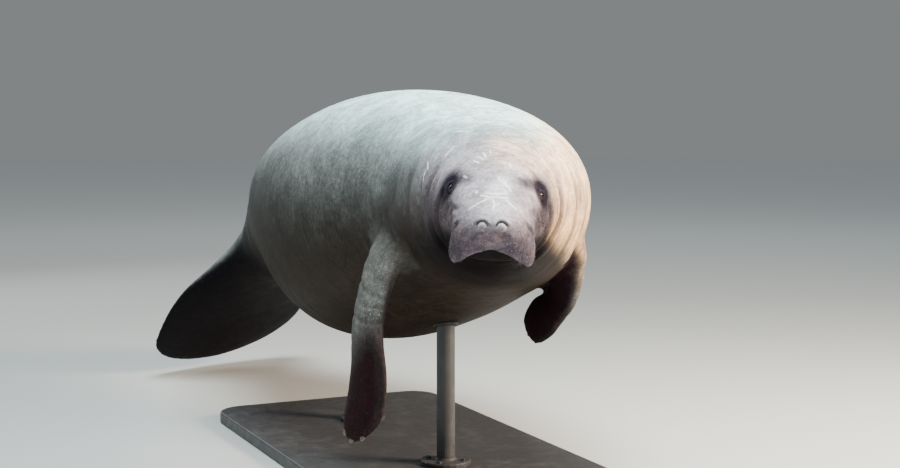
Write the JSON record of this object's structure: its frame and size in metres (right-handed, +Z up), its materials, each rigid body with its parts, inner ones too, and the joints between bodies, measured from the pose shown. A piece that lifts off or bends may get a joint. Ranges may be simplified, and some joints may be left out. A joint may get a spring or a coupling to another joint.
{
  "type": "manatee",
  "caption": "Life-size museum model of a manatee swimming with its head turned aside and its tail bent down, held over a flat display base by short rods.",
  "frame": {"origin": "centre of the underside of the stand's flat base, which lies on the floor", "axes": "+Z up; the snout points towards -Y and the tail towards +Y, along the longest extent; the animal's left side is +X"},
  "size_m": [0.8054, 2.9376, 1.0919],
  "materials": {
    "hide": "wet grey hide with fine wrinkles and pale scratches, semi-gloss",
    "dark_hide": "wet dark brown-grey hide, semi-gloss",
    "eye": "wet black-brown eyeball, high gloss",
    "nail": "worn horn, satin",
    "stand": "powder-coated charcoal, fine texture, matt"
  },
  "bodies": {
    "root": {"snout": "hide", "head": "hide", "neck": "hide", "torso": "hide", "tail_stock": "hide", "flipper_right": "hide", "flipper_left": "hide", "lower_jaw": "dark_hide", "tail_paddle": "dark_hide", "eye_left": "eye", "eye_right": "eye", "nail_right_1": "nail", "nail_right_2": "nail", "nail_right_3": "nail", "nail_left_1": "nail", "nail_left_2": "nail", "nail_left_3": "nail", "stand_base": "stand", "stand_rod_front": "stand", "stand_rod_rear": "stand"}
  },
  "joints": []
}
